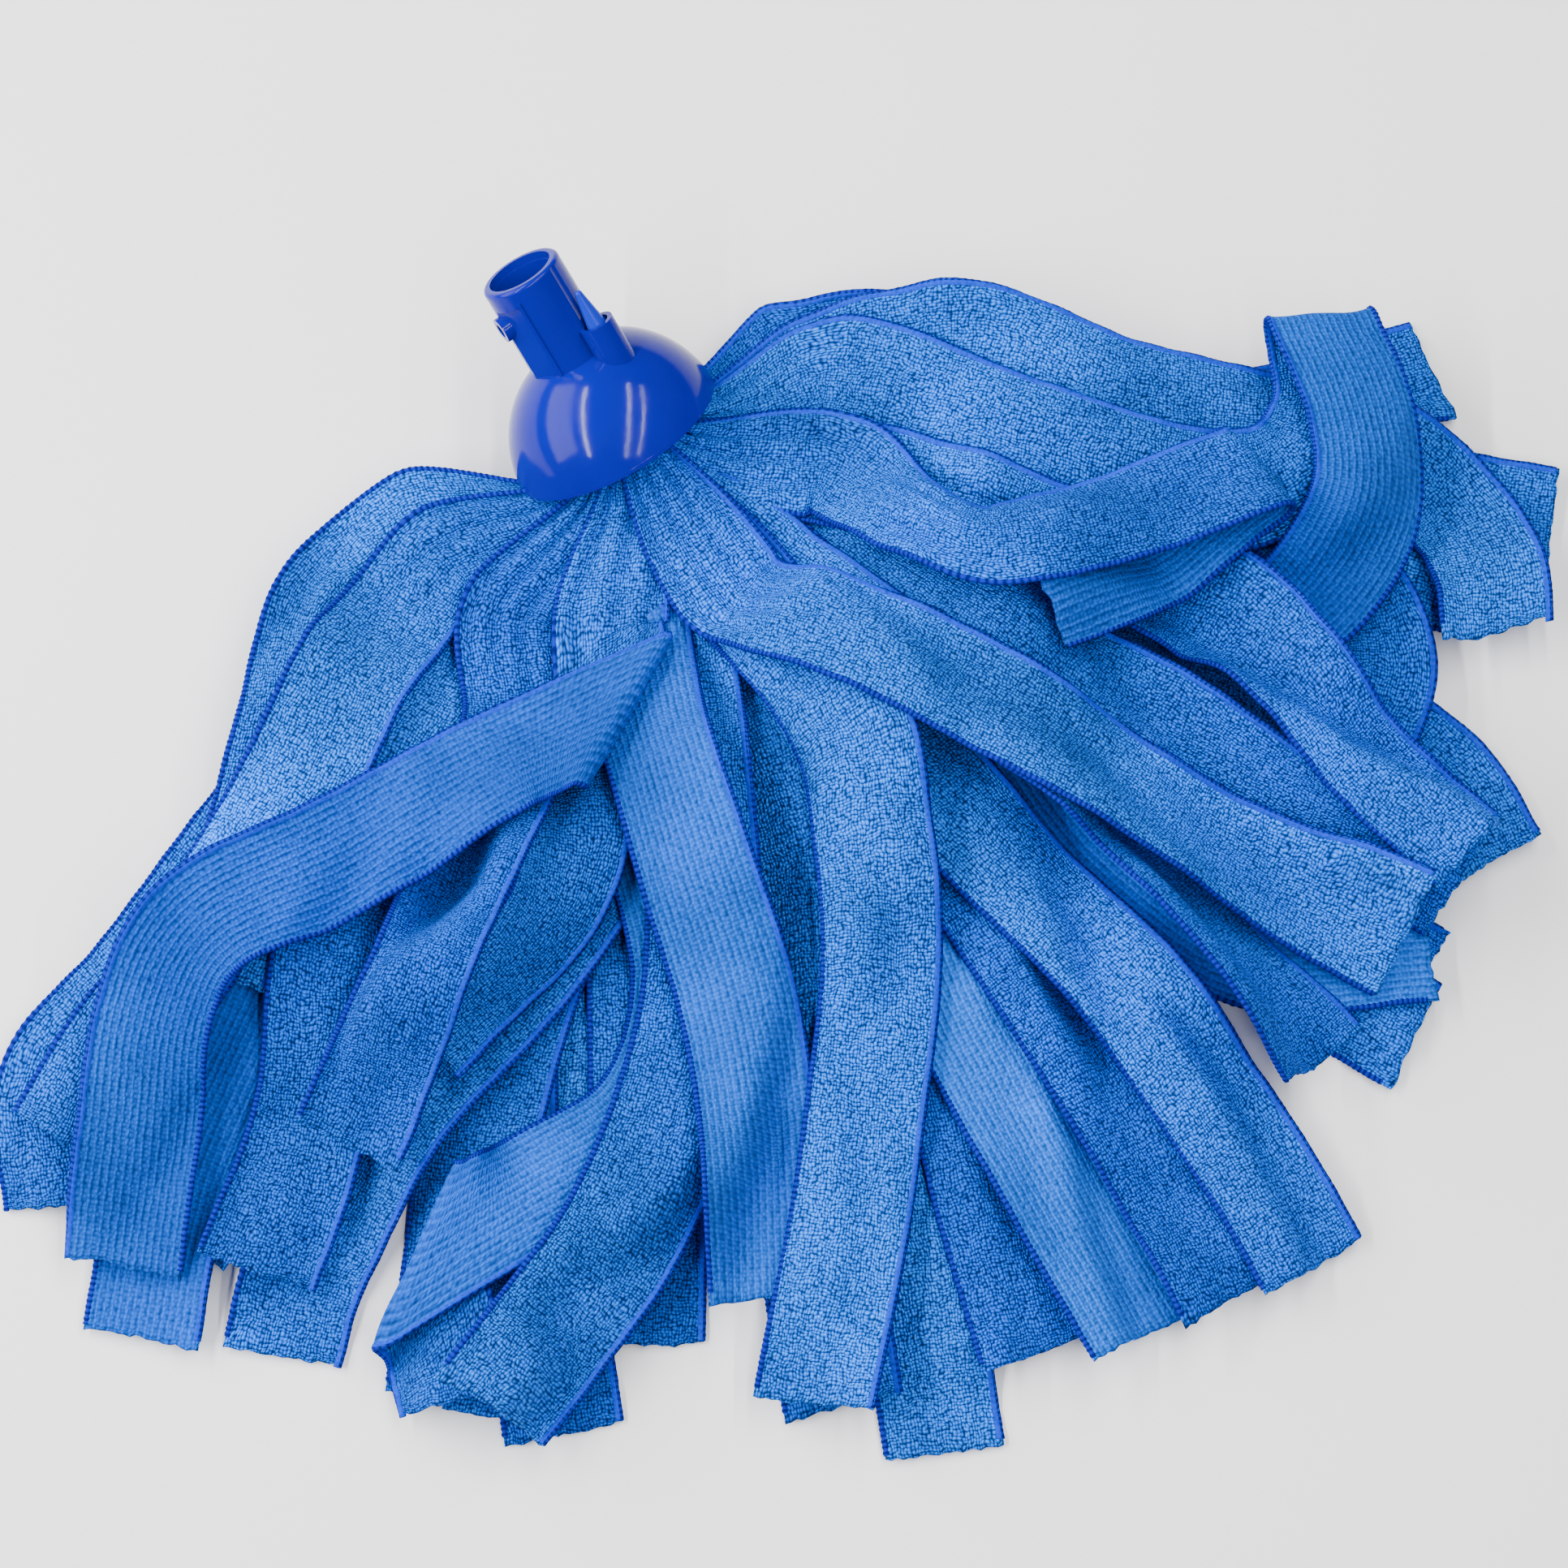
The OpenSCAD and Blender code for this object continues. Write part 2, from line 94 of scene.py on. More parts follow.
# The cloth of the strips, the steps of its mesh and the map of the pile's top, in mm
CLOTH_T = 1.5
ROW = 2.8
U = np.linspace(-1, 1, 21)
MIDDLE = len(U) // 2
SPAN_ROWS = 24
NECK_ROWS = 40
LOOP_ROWS = 8
MAP_CELL = 2.0
MAP_REACH = 400.0
CLEAR_LEN = 22.0
CLEAR_GAP = 0.35
FLOOR_GAP = 0.15

# The higher the pile already is, the flatter a strip lies on it
PILE_TOP = 78.0
PILE_SOFT = 42.0
ROOM_LEAST = 0.15

# How loose a strip lies: held flat up to strip number FREE_FROM, loose from FREE_SPAN strips later
FREE_FROM, FREE_SPAN = 18, 26

# How far the strips rise from a flat lie: roll in degrees, bows, humps, curled edges, frills and
# folds in mm, each with what every strip has and what a loose one has on top of it
ROLL_LOW, ROLL_FREE = 5.0, 20.0
BOW_LOW, BOW_FREE = 1.0, 4.5
HUMP, HUMP_LOW = 7.5, 0.35
CURL_LOW, CURL_FREE = 0.4, 1.1
FRILL, FRILL_PITCH = 0.55, 2.9
FOLD_LIFT, FOLD_LEN = 5.0, 34.0

# Distances along a strip over which its roll, humps, bow and curl change
ROLL_PITCH, HUMP_PITCH, BOW_PITCH, CURL_PITCH = 70, 52, 85, 35
ROLL_EASE = 8

# Pleats: at full depth where the cloth is drawn in to the first width, and gone at the second.
# Part of the depth lasts to PLEAT_REACH from the mouth and dies away over PLEAT_FADE, and the
# layers above PLEAT_TOP_LAYER have deeper ones.
PLEAT_FULL_W, PLEAT_NO_W = 10.0, 42.0
PLEAT_REACH, PLEAT_FADE = 55.0, 65.0
PLEAT_OUTSIDE = 0.5
PLEAT_LOW = 0.6
PLEAT_TOP_LAYER = 6
PLEAT_TURNS, PLEAT_TURNS_STEP = 3.0, 0.6

# The laid strips from the bottom of the pile to its top, with the points chosen in the CAD part:
# layer at the mouth, place across the mouth as a percentage, direction at the ring in degrees,
# share of the mouth, and route. A third value folds the strip at that point, on top (1) or
# underneath (-1).
LAID = [
    (4, -2, -2, 1, [(78, -125), (90, -190), (100, -270), (112, -350)]),
    (4, -85, -88, 1, [(-90, -85), (-125, -140), (-160, -190), (-188, -225), (-185, -268)]),
    (4, -45, -42, 1, [(-5, -130), (-30, -190), (-45, -250), (-55, -330)]),
    (4, 38, 36, 1, [(130, -50), (200, -70), (250, -92), (285, -118), (302, -148)]),
    (4, 78, 84, 1, [(100, 38), (150, 22), (210, 8), (266, 22)]),
    (5, 0, 2, 1, [(95, -140), (115, -210), (128, -265), (143, -318)]),
    (5, -80, -78, 1, [(-75, -100), (-105, -160), (-130, -215), (-148, -260), (-157, -312)]),
    (5, -42, -38, 1, [(5, -125), (-25, -180), (-70, -235), (-100, -285), (-110, -318)]),
    (5, 34, 34, 1, [(115, -70), (160, -135), (215, -180), (278, -178)]),
    (5, 68, 68, 1, [(138, 8), (190, -2), (228, -18), (252, -46), (266, -76), (256, -106)]),
    (6, 14, 18, 1, [(96, -120), (112, -188), (132, -228), (152, -266), (178, -312)]),
    (6, -94, -104, 1, [(-98, -52), (-109, -78), (-112, -108), (-120, -145), (-136, -190)]),
    (6, -16, -14, 1, [(46, -108), (60, -150), (66, -210), (70, -280), (78, -335)]),
    (6, 72, 74, 1, [(125, 30), (180, 12), (240, 4), (270, -4), (293, -22), (303, -45), (305, -68)]),
    (7, 6, 5, 1, [(98, -120), (138, -182), (165, -222), (190, -262), (208, -300)]),
    (7, -74, -72, 1, [(-62, -95), (-84, -140), (-95, -190), (-101, -240), (-118, -292)]),
    (7, -38, -36, 1, [(12, -130), (26, -190), (12, -238), (-30, -268), (-62, -288, -1), (-50, -335)]),
    (7, 38, 38, 1, [(112, -56), (150, -82), (190, -106), (232, -132), (286, -162)]),
    (7, 70, 71, 1, [(140, -4), (195, -20), (232, -16), (247, 6), (246, 32, 1), (258, 2), (259, -28),
                       (243, -56), (218, -76)]),
    (8, 11, 11, 1, [(92, -108), (125, -146), (160, -181), (190, -216), (215, -252), (236, -289)]),
    (8, -86, -90, 1, [(-84, -85), (-106, -130), (-138, -178), (-165, -214), (-184, -248)]),
    (8, -54, -54, 1, [(-18, -112), (-12, -142), (-18, -170), (-37, -195), (-62, -218)]),
    (8, 40, 43, 1, [(140, -38), (200, -60), (230, -90), (255, -120), (290, -152)]),
    (8, -22, -21.5, 1, [(28, -128), (31, -185), (22, -235), (4, -280), (-18, -312), (-38, -338)]),
    (9, -62, -64, 1, [(-31, -108), (-46, -152), (-66, -202), (-86, -252)]),
    (9, -33, -32, 1, [(14, -112), (28, -158), (42, -200), (50, -245), (53, -300)]),
    (9, 10, 10, 1, [(98, -88), (140, -118), (178, -152), (210, -186), (240, -220)]),
    (9, 44, 44, 1, [(100, -36), (125, -52), (158, -45), (190, -34), (216, -24, -1), (180, -50),
                       (145, -66)]),
    (9.8, -40, -38, 2, [(4, -104, 1), (-44, -129), (-94, -158), (-136, -181), (-152, -210),
                       (-157, -245), (-163, -289)]),
    (9.8, 0, 0, 0.7, [(80, -112), (88, -150), (91, -190), (86, -235), (79, -282), (68, -335)]),
    (10.7, -9, -3, 4, [(72, -78), (110, -97), (150, -119), (190, -141), (230, -161), (268, -180)]),
]

# Outline of a hem in degrees from its outer side; the first and last facets are its stitched rim
HEM_RING = (0, 77, 120, 155, 180, 205, 240, 283)
HEM_SQUARE = 0.8

# How far a hem stands past the cloth in mm, and how much its stitches swell its thickness and its
# width, for the left-hand hem and the right-hand one
HEM_PAST = 0.5
HEM_SWELL = ((0.02, 0.02), (0.13, 0.16))
HEM_JITTER = 0.03

# A cut end: how ragged, slanted and bowed it usually is, in mm
CUT_RAGGED, CUT_SLANT, CUT_BOW = 0.35, 1.6, 0.8

# How much thinner the cloth is at its edges, and how far each strip's pattern is moved on, in m
EDGE_THIN = 0.35
PATTERN_STEP = 0.61

# Strips that start with their ribbed face up
RIBS_UP = {3, 8, 14, 17, 27, 29, 31, 37, 46}

# Strips that stand up on one edge for part of their way: share of the way and degrees of roll,
# positive with the right-hand edge up
ROLL = {
    25: [(0.0, -40), (0.25, -58), (0.5, -35), (0.75, -12), (1.0, 5)],
    30: [(0.0, 0), (0.15, 16), (0.35, 10), (0.6, -6), (0.85, 24), (1.0, 5)],
    32: [(0.0, 10), (0.2, 38), (0.45, 42), (0.7, 10), (1.0, 0)],
    34: [(0.0, 0), (0.15, -16), (0.35, -8), (0.7, 10), (1.0, -14)],
    38: [(0.0, 0), (0.15, 16), (0.35, 12), (0.6, -38), (0.85, -50), (1.0, -30)],
    39: [(0.0, 0), (0.2, 18), (0.5, 8), (1.0, -12)],
    41: [(0.0, -10), (0.3, 14), (0.6, -8), (1.0, 10)],
    42: [(0.0, 5), (0.4, 14), (0.65, 50), (0.85, 56), (1.0, 30)],
    43: [(0.0, 0), (0.12, 22), (0.3, 24), (0.5, -8), (0.7, -38), (1.0, -25)],
    46: [(0.0, 0), (0.2, -26), (0.5, -8), (1.0, 14)],
    47: [(0.0, 12), (0.3, 34), (0.6, 50), (0.85, 42), (1.0, 20)],
    48: [(0.0, 16), (0.25, 48), (0.4, 40), (0.6, 18), (0.85, 26), (1.0, 30)],
    50: [(0.0, 0), (0.12, -24), (0.3, -12), (0.5, 4), (0.8, -6), (1.0, 4)],
    51: [(0.0, -10), (0.2, 10), (0.45, -7), (0.7, 9), (1.0, -12)],
}


def smooth(t):
    """A soft step from 0 to 1 as t goes from 0 to 1."""
    t = np.clip(t, 0.0, 1.0)
    return t * t * (3 - 2 * t)


def unit(v):
    return v / np.maximum(np.linalg.norm(v, axis=-1, keepdims=True), 1e-9)


def heading(degrees):
    """The level direction at that many degrees from +X."""
    return np.array([math.cos(math.radians(degrees)), math.sin(math.radians(degrees))])


def right_of(v):
    return np.stack([v[..., 1], -v[..., 0]], axis=-1)


def sind(degrees):
    return math.sin(math.radians(degrees))


def fill_strip(layer, i):
    """A regular strip that fans straight out under the pile, by the CAD part's own rule."""
    turn = -84 + 39 * i + 5 * (layer % 3) - 4 * (layer % 2)
    out = 0.78 * turn - 7
    count = FILL_ACROSS * layer + i
    wave = 3 * sind(97 * count)
    reach = 328 + 20 * sind(127 * count) - 40 * float(smooth((abs(out + 8) - 45) / 30))
    route = [tuple(reach * s * heading(FAN + out + wave * sind(360 * s + 60 * i)))
             for s in (0.42, 0.68, 1)]
    return (layer, turn, turn, 1, route)


STRIPS = [fill_strip(layer, i) for layer in range(FILL_LAYERS) for i in range(FILL_ACROSS)] + LAID


def strip_name(number):
    return f"strip_{number + 1:02d}"


class Run:
    """One stretch of a strip between its folds."""

    def __init__(self, number, index, points, start_side, end_side, lift):
        self.number = number
        self.index = index
        self.points = [np.array(p[:2], float) for p in points]
        self.first = index == 0
        self.last = end_side == 0
        self.lift = lift
        self.level = number + FOLD_STEP * lift
        self.back_on_top = start_side > 0
        self.start_dir = unit(self.points[1] - self.points[0])
        self.end_dir = unit(self.points[-1] - self.points[-2])

    def line(self, rows):
        """The centre line as a spline through the points, with that many rows to a span."""
        p = self.points
        lead = p[0] * (1 - RING_LEAD / RING_R) if self.first else 2 * p[0] - p[1]
        q = [lead] + p + [2 * p[-1] - p[-2]]
        t = (np.arange(rows) / rows)[:, None]
        spans = []
        for a, b, c, d in zip(q, q[1:], q[2:], q[3:]):
            spans.append((2 * b + (c - a) * t + (2 * a - 5 * b + 4 * c - d) * t * t
                          + (3 * b - a - 3 * c + d) * t * t * t) / 2)
        return np.vstack(spans + [p[-1][None]])


def split_runs(number, strip):
    """The runs of a strip, from its ring to its cut end."""
    route = strip[4]
    runs, lift, side = [], 0, 0
    points = [tuple(RING_R * heading(FAN + strip[2]))]
    for i, p in enumerate(route):
        points.append(p)
        folded = len(p) == 3
        if folded or i == len(route) - 1:
            end_side = p[2] if folded else 0
            runs.append(Run(number, len(runs), points, side, end_side, lift))
            lift += end_side
            side = end_side
            points = [p]
    for a, b in zip(runs, runs[1:]):
        a.crease = b.back_crease = unit(a.end_dir + b.start_dir)
    return runs


class Pile:
    """The strips as runs, and the top of the pile that they have made so far."""

    def __init__(self):
        self.strips = [split_runs(j, s) for j, s in enumerate(STRIPS)]
        self.size = int(2 * MAP_REACH / MAP_CELL) + 1
        self.top = np.zeros((self.size, self.size))
        self.laid = {}
        for run in sorted((r for strip in self.strips for r in strip), key=lambda r: r.level):
            self.laid[run.number, run.index] = self.lay(run)

    def at(self, p):
        """The height of the top at each plan point."""
        q = np.clip((p + MAP_REACH) / MAP_CELL, 0, self.size - 1.001)
        i = np.floor(q).astype(int)
        x, y = i[..., 0], i[..., 1]
        fx, fy = np.moveaxis(q - i, -1, 0)
        a = self.top[x, y] * (1 - fx) + self.top[x + 1, y] * fx
        b = self.top[x, y + 1] * (1 - fx) + self.top[x + 1, y + 1] * fx
        return a * (1 - fy) + b * fy

    def cover(self, rows):
        """Raise the top to a sheet that was laid."""
        between = 0.5 * (rows[1:] + rows[:-1])
        for part in (rows, between):
            cell = np.round((part[..., :2] + MAP_REACH) / MAP_CELL).astype(int)
            height = (part[..., 2] + CLOTH_T / 2).ravel()
            for step in np.ndindex(3, 3):
                near = np.clip(cell + np.array(step) - 1, 0, self.size - 1)
                np.maximum.at(self.top, (near[..., 0].ravel(), near[..., 1].ravel()), height)

    def lay(self, run):
        """Lay one run over what is already there, with the slack of real cloth."""
        free = smooth((run.number - FREE_FROM) / FREE_SPAN)
        plan, s = run_plan(run)
        held = bridged(self.at(plan))
        far = smooth((np.linalg.norm(plan, axis=2) - RING_R) / (FREE_R - RING_R))
        start = far[:, MIDDLE]
        rng = np.random.default_rng(900 + 7 * run.number + run.index)
        roll = slow_noise(s, ROLL_PITCH, rng) * (ROLL_LOW + ROLL_FREE * free)
        wave = slow_noise(s, HUMP_PITCH, rng)
        bow = slow_noise(s, BOW_PITCH, rng)[:, None] * (BOW_LOW + BOW_FREE * free)
        curled = slow_noise(s, CURL_PITCH, rng)
        angle = roll * start
        given = ROLL.get(run.number + 1)
        if given and run.index == 0:
            angle = ease(np.interp(s / s[-1], *zip(*given))[:, None], ROLL_EASE)[:, 0]
        angle = np.radians(angle)[:, None]
        middle = plan[:, MIDDLE][:, None]
        plan = middle + (plan - middle) * np.cos(angle)[..., None]
        up = np.where(angle > 0, 1 + U, 1 - U) * STRIP_W / 2 * np.sin(np.abs(angle))
        hump = HUMP * (HUMP_LOW + free) * np.maximum(wave, 0) ** 2 * start
        cup = np.where(bow > 0, bow * (1 - U * U), -bow * U * U) * start[:, None]
        curl = (CURL_FREE * free + CURL_LOW) * ((0.5 + 0.5 * curled) * start)[:, None] * U ** 6
        frill = FRILL * np.sin(s[:, None] / FRILL_PITCH + 2 * U + run.number) * np.abs(U) ** 3
        frill *= start[:, None]
        fold = FOLD_LIFT * (1 - smooth(s / FOLD_LEN)) if run.back_on_top else np.zeros_like(s)
        room = np.clip((PILE_TOP - held) / PILE_SOFT, ROOM_LEAST, 1.0)
        loose = up + hump[:, None] + cup + curl + fold[:, None]
        resting = held + CLOTH_T / 2 + CLEAR_GAP
        z = resting + room * loose + frill
        z = (1 - far) * (ring_z(STRIPS[run.number][0] + run.lift) + frill) + far * z
        clear = smooth((np.linalg.norm(plan, axis=2) - RING_R) / CLEAR_LEN)
        rows = np.dstack([plan, np.maximum(z, (1 - clear) * z + clear * resting)])
        self.cover(rows)
        return rows


def ring_z(layer):
    """The height of a strip of that layer where it crosses the ring."""
    return STRIP_T / 2 + RING_LIFT + PILE_PITCH * layer


def slow_noise(s, pitch, rng):
    """Smooth random values between -1 and 1 along a strip."""
    count = int(s[-1] / pitch) + 4
    knots = rng.uniform(-1, 1, count)
    q = s / pitch + rng.uniform(0, 1)
    i = np.floor(q).astype(int)
    f = smooth(q - i)
    return knots[i] * (1 - f) + knots[i + 1] * f


def ease(values, reach):
    """A running weighted mean along the first axis."""
    weight = np.hanning(2 * reach + 3)[1:-1]
    weight /= weight.sum()
    padded = np.pad(values, ((reach, reach),) + ((0, 0),) * (values.ndim - 1), mode="edge")
    return sum(w * padded[k:k + len(values)] for k, w in enumerate(weight))


def bridged(under):
    """What a strip rests on: the bumps under it, with the hollows between them bridged."""
    along, across = 4, 2
    padded = np.pad(under, ((along, along), (across, across)), mode="edge")
    high = np.maximum.reduce([padded[k:k + len(under)] for k in range(2 * along + 1)])
    wide = np.maximum.reduce([high[:, k:k + under.shape[1]] for k in range(2 * across + 1)])
    return ease(ease(wide, along + 1).T, across + 1).T


def run_plan(run):
    """The run's points in plan and their distance along it."""
    line = run.line(SPAN_ROWS)
    along = distance_along(line)
    s = np.linspace(0, along[-1], int(along[-1] / ROW) + 2)
    c = np.column_stack([np.interp(s, along, line[:, k]) for k in (0, 1)])
    t = ease(unit(np.gradient(c, axis=0)), 2)
    if not run.first:
        t[0] = run.start_dir
    t = unit(t)
    side = right_of(t) * (1 if run.index % 2 == 0 else -1)
    lateral = side.copy()
    creases = []
    if not run.last:
        creases.append((1 - (s[-1] - s) / FOLD_SHEAR_LEN, run.crease))
    if not run.first:
        creases.append((1 - s / FOLD_SHEAR_LEN, run.back_crease))
    for q, d in creases:
        q = np.clip(q, 0, 1)[:, None]
        cross = (side @ d)[:, None]
        cross = np.where(np.abs(cross) < LEAST_CROSS, LEAST_CROSS, cross)
        lateral = np.where(q > 0, side + (d / cross - side) * q, lateral)
    return c[:, None] + lateral[:, None] * U[None, :, None] * STRIP_W / 2, s


def distance_along(points):
    return np.concatenate([[0], np.cumsum(np.linalg.norm(np.diff(points, axis=0), axis=1))])


def resample(rows, step):
    """The same surface with rows at even steps along its middle."""
    s = distance_along(rows[:, MIDDLE])
    n = int(round(s[-1] / step)) + 1
    t = np.linspace(0, s[-1], n)
    out = np.empty((n,) + rows.shape[1:])
    for k in range(rows.shape[1]):
        for c in range(3):
            out[:, k, c] = np.interp(t, s, rows[:, k, c])
    return out, t


def surface_normals(rows):
    """Unit normals of a sheet, upwards where it lies face up."""
    along = np.gradient(rows, axis=0)
    side = np.gradient(rows, axis=1)
    return unit(np.cross(side, along))


class StripShape:
    """One strip as rows of points, from its root in the dome to its cut end."""

    def __init__(self, pile, number, pleat):
        self.number = number
        self.name = strip_name(number)
        self.strip = STRIPS[number]
        rows = np.vstack([self.neck_rows()[:-1], self.free_rows(pile)])
        rows, self.s = resample(rows, ROW)
        rows[1:-1] = 0.5 * rows[1:-1] + 0.25 * (rows[:-2] + rows[2:])
        self.gather(rows, pleat)
        rows[..., 2] = np.maximum(rows[..., 2], CLOTH_T / 2)
        self.rows = rows + [MOUTH[0], MOUTH[1], FLOOR_GAP]
        self.normals = surface_normals(self.rows)
        self.length = self.s[-1]

    def neck_rows(self):
        """The stretch from the root in the dome to the ring, where the strip is full width."""
        layer, place, turn, share, _ = self.strip
        drop = GATHER_LOW + GATHER_PITCH * layer
        chord = math.sqrt(GATHER_R ** 2 - drop ** 2)
        half = share * GATHER_SHARE * chord / 2
        ring = RING_R * heading(FAN + turn)
        arrive = ARRIVE_LEN - ARRIVE_CUT * float(smooth((abs(turn) - 30) / 50))
        root = np.array([0, 0, MOUTH[2]]) + UP * drop + AXIS * ROOT_IN
        root = root - SIDE * (place / 100 * (chord - half))
        leave = root - AXIS * EXIT_LEN
        into = np.append(ring * (1 - arrive / RING_R), ring_z(layer))
        end = np.append(ring, ring_z(layer))
        t = np.linspace(0, 1, NECK_ROWS)[:, None]
        v = 1 - t
        middle = root * v ** 3 + 3 * leave * v * v * t + 3 * into * v * t * t + end * t ** 3
        spread = 1 - (1 - np.clip((t - 0.1) / 0.9, 0, 1)) ** (2.0 if layer > 7.5 else 1.6)
        across = np.append(right_of(heading(FAN + turn)), 0) * STRIP_W / 2
        lateral = SIDE * half * (1 - spread) + across * spread
        return middle[:, None] + lateral[:, None] * U[None, :, None]

    def free_rows(self, pile):
        """The draped runs from the ring outwards, joined by a round loop at each fold."""
        runs = pile.strips[self.number]
        laid = [pile.laid[self.number, k] for k in range(len(runs))]
        rows = [laid[0]]
        for a, b, following in zip(runs, runs[1:], laid[1:]):
            out = np.append(unit(a.end_dir - b.start_dir), 0)
            ends = rows[-1][-1], following[0]
            gap = np.abs(ends[0][:, 2:] - ends[1][:, 2:]) / 2
            middle, half = (ends[0] + ends[1]) / 2, (ends[0] - ends[1]) / 2
            for g in np.linspace(0, math.pi, LOOP_ROWS + 2)[1:-1]:
                rows.append((middle + half * math.cos(g) + out * gap * math.sin(g))[None])
            rows.append(following)
        return np.vstack(rows)

    def gather(self, rows, pleat):
        """Pleats that take up the width that the mouth has no room for."""
        width = np.linalg.norm(rows[:, -1] - rows[:, 0], axis=1)
        tight = 1 - smooth((width - PLEAT_FULL_W) / (PLEAT_NO_W - PLEAT_FULL_W))
        reach = np.linalg.norm(rows[:, MIDDLE, :2], axis=1)
        outside = PLEAT_OUTSIDE * (1 - smooth((reach - PLEAT_REACH) / PLEAT_FADE))
        top = smooth((self.strip[0] - PLEAT_TOP_LAYER) / 3)
        depth = (pleat * (PLEAT_LOW + top) * np.maximum(tight, outside))[:, None]
        turns = PLEAT_TURNS + (self.number % 3) * PLEAT_TURNS_STEP
        pleats = depth * np.sin(math.pi * turns * U + 1.3 * self.number)
        rows += surface_normals(rows) * pleats[..., None]


def mesh_object(name, verts, faces, materials, slots=None, uvs=None):
    """A smooth-shaded object, with a material slot for each face and UVs for each vertex."""
    mesh = bpy.data.meshes.new(name)
    mesh.from_pydata(verts, [], faces)
    for material in materials:
        mesh.materials.append(material)
    if slots is not None:
        mesh.polygons.foreach_set("material_index", slots)
    if uvs is not None:
        layer = mesh.uv_layers.new(name="cloth")
        loops = np.empty(len(mesh.loops), dtype=np.int32)
        mesh.loops.foreach_get("vertex_index", loops)
        layer.data.foreach_set("uv", uvs[loops].astype(np.float32).ravel())
    mesh.shade_smooth()
    mesh.update()
    obj = bpy.data.objects.new(name, mesh)
    bpy.context.scene.collection.objects.link(obj)
    return obj


def grid_faces(n, m):
    """The quads of a grid of n rows of m points."""
    i, k = np.meshgrid(np.arange(n - 1), np.arange(m - 1), indexing="ij")
    a = (i * m + k).ravel()
    return np.column_stack([a, a + 1, a + m + 1, a + m])


def cloth_object(shape, materials):
    """The strip's cloth as a closed sheet with its ragged cut end."""
    rows = shape.rows.copy()
    n, m = rows.shape[:2]
    rng = np.random.default_rng(100 + shape.number)
    ragged = rng.normal(0, CUT_RAGGED, m) + CUT_SLANT * U * rng.normal() + CUT_BOW * U ** 2 * rng.normal()
    end = unit(rows[-1] - rows[-2])
    for back, share in ((1, 1.0), (2, 0.5)):
        rows[-back] += end * (ragged * share)[:, None]
    half = CLOTH_T / 2 * (1 - EDGE_THIN * np.abs(U) ** 8)[None, :, None]
    top = (rows + shape.normals * half).reshape(-1, 3)
    low = (rows - shape.normals * half).reshape(-1, 3)
    verts = np.vstack([top, low]) * MM
    size = n * m
    a = np.arange(n - 1) * m
    b = a + m - 1
    k = np.arange(m - 1)
    j = k + size - m
    left = np.column_stack([a, a + m, a + m + size, a + size])
    right = np.column_stack([b, b + size, b + m + size, b + m])
    start = np.column_stack([k, k + size, k + 1 + size, k + 1])
    stop = np.column_stack([j, j + 1, j + 1 + size, j + size])
    face = grid_faces(n, m)
    parts = [face, face[:, ::-1] + size, left, right, start, stop]
    ribs_first = int(shape.number + 1 in RIBS_UP)
    slot = [ribs_first, 1 - ribs_first, 0, 0, 0, 0]
    slots = np.concatenate([np.full(len(p), v, dtype=np.int32) for p, v in zip(parts, slot)])
    uv = np.stack(np.meshgrid(shape.s, U * STRIP_W / 2, indexing="ij"), axis=-1).reshape(-1, 2) * MM
    uv += [PATTERN_STEP * shape.number, 0.1]
    return mesh_object(shape.name + "_cloth", verts, np.vstack(parts).tolist(), materials, slots,
                       np.vstack([uv, uv]))


def hem_object(shape, look, materials):
    """Overlock stitching as a ribbed bead round each long edge."""
    s_fine = np.arange(0, shape.length - 1.0, look.stitch_mm / 2)
    n, sides = len(s_fine), len(HEM_RING)
    ring = np.radians(HEM_RING)
    x = np.sign(np.cos(ring)) * np.abs(np.cos(ring)) ** HEM_SQUARE
    y = np.sign(np.sin(ring)) * np.abs(np.sin(ring)) ** HEM_SQUARE
    tooth = np.where(np.arange(n) % 2 == 0, 1.0, -1.0)
    i, k = np.meshgrid(np.arange(n - 1), np.arange(sides), indexing="ij")
    a, b = (i * sides + k).ravel(), (i * sides + (k + 1) % sides).ravel()
    uv = np.stack(np.meshgrid(s_fine, ring, indexing="ij"), axis=-1).reshape(-1, 2) * MM
    rng = np.random.default_rng(500 + shape.number)

    def along(values):
        return np.column_stack([np.interp(s_fine, shape.s, values[:, c]) for c in range(3)])

    verts, faces, slots = [], [], []
    hems = ((0, 1, look.band_w_mm), (-1, -2, look.stitches_w_mm))
    for which, (edge, inner, width) in enumerate(hems):
        offset = which * n * sides
        p = along(shape.rows[:, edge])
        normal = unit(along(shape.normals[:, edge]))
        out = unit(p - along(shape.rows[:, inner]))
        thick, wide = (half * (1 + swell * tooth + rng.normal(0, HEM_JITTER, n))
                       for half, swell in zip((look.hem_t_mm / 2, width / 2), HEM_SWELL[which]))
        centre = p - out * (width / 2 - HEM_PAST)
        body = (centre[:, None] + out[:, None] * (wide[:, None] * x)[..., None]
                + normal[:, None] * (thick[:, None] * y)[..., None])
        verts.append(body.reshape(-1, 3))
        faces += (np.column_stack([a, a + sides, b + sides, b]) + offset).tolist()
        faces.append([offset + k for k in range(sides)])
        faces.append([offset + (n - 1) * sides + k for k in reversed(range(sides))])
        rim = [1] + [which] * (sides - 2) + [1]
        slots += rim * (n - 1) + [1, 1]
    return mesh_object(shape.name + "_hem", np.vstack(verts) * MM, faces, materials, slots,
                       np.vstack([uv, uv]))


# ---------------------------------------------------------------- materials

# The wave texture's scale that gives one band to a unit of length, and the sheen of microfibre
WAVE_UNIT = 0.314
SHEEN_TINT = (0.03, 0.3, 1.0, 1)


